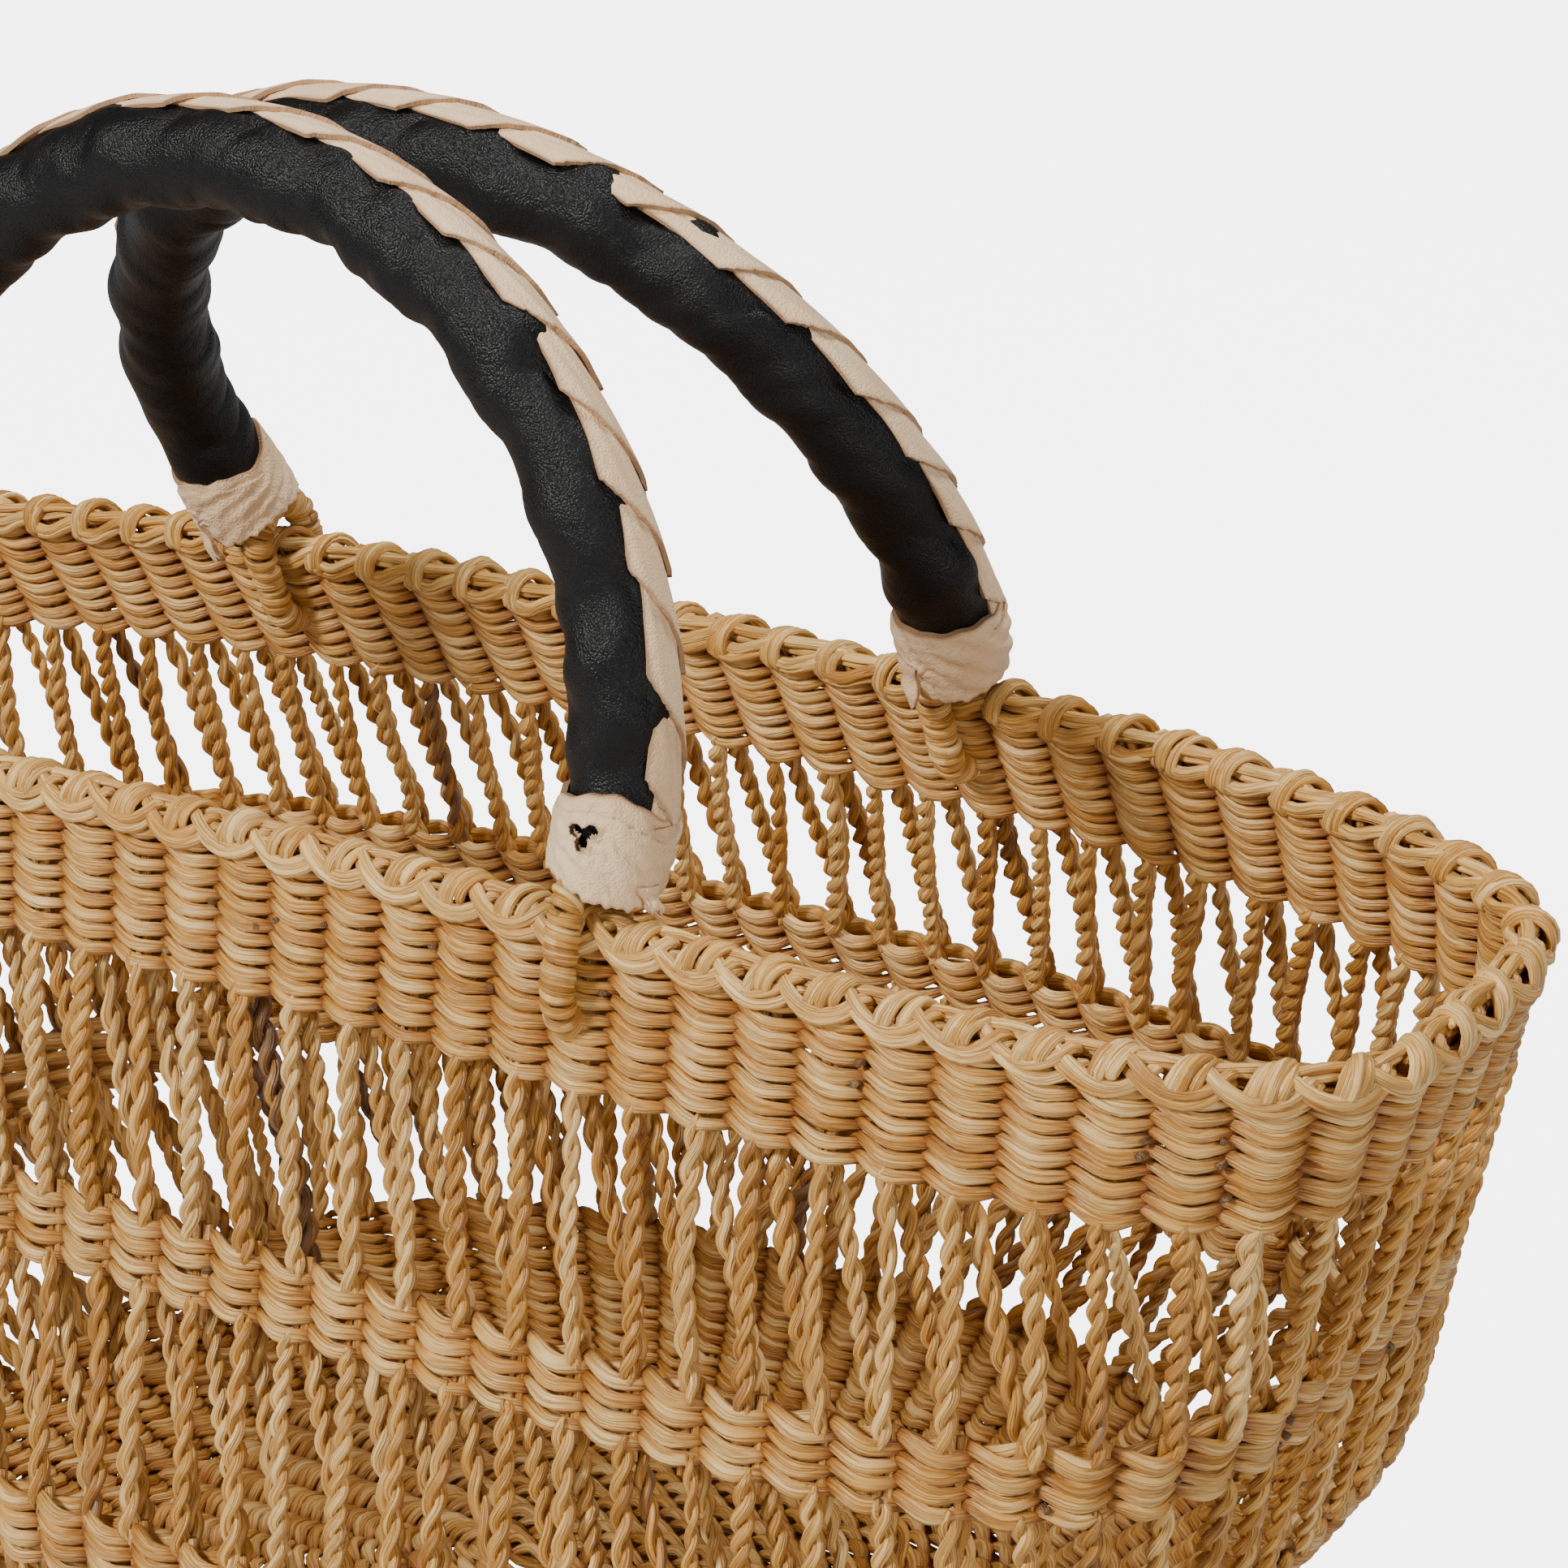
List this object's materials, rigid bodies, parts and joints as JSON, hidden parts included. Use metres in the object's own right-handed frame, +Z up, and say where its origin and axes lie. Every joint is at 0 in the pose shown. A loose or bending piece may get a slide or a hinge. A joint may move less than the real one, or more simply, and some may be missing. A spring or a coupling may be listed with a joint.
{
  "type": "woven market basket",
  "caption": "Long oval grass basket with solid woven bands, open zones of twisted stakes and two leather-covered arch handles on grass loops.",
  "frame": {"origin": "on the ground, under the middle of the base", "axes": "+Z up, +X along the basket's long way, -Y the side of the front handle"},
  "size_m": [0.55, 0.2704, 0.3923],
  "materials": {
    "grass_weave": "satin dried grass, woven",
    "grass_cord": "satin dried grass, twisted",
    "black_leather": "soft fine-grained black leather",
    "natural_leather": "undyed vegetable-tanned leather, raw edges"
  },
  "bodies": {
    "basket": {"base_disc": "grass_weave", "lower_wall": "grass_weave", "lower_stakes_outer": "grass_cord", "lower_stakes_inner": "grass_cord", "low_band": "grass_weave", "middle_stakes_outer": "grass_cord", "middle_stakes_inner": "grass_cord", "middle_band": "grass_weave", "upper_stakes_outer": "grass_cord", "upper_stakes_inner": "grass_cord", "rim_band": "grass_weave", "rim_border": "grass_weave"},
    "front_handle": {"front_core": "grass_cord", "front_leather_cover": "black_leather", "front_lacing": "natural_leather", "front_cuff_left": "natural_leather", "front_cuff_tail_left": "natural_leather", "front_loop_left": "grass_cord", "front_cuff_right": "natural_leather", "front_cuff_tail_right": "natural_leather", "front_loop_right": "grass_cord"},
    "back_handle": {"back_core": "grass_cord", "back_leather_cover": "black_leather", "back_lacing": "natural_leather", "back_cuff_left": "natural_leather", "back_cuff_tail_left": "natural_leather", "back_loop_left": "grass_cord", "back_cuff_right": "natural_leather", "back_cuff_tail_right": "natural_leather", "back_loop_right": "grass_cord"}
  },
  "joints": [
    {"name": "front_handle_tilt", "type": "hinge", "parent": "basket", "child": "front_handle", "pos_m": [0, -0.06961, 0.23324], "axis": [1, 0, 0], "range_deg": [-10, 80], "deforming": ["front_loop_left", "front_loop_right"]},
    {"name": "back_handle_tilt", "type": "hinge", "parent": "basket", "child": "back_handle", "pos_m": [0, 0.06961, 0.23324], "axis": [-1, 0, 0], "range_deg": [0, 88], "deforming": ["back_loop_left", "back_loop_right"]}
  ]
}
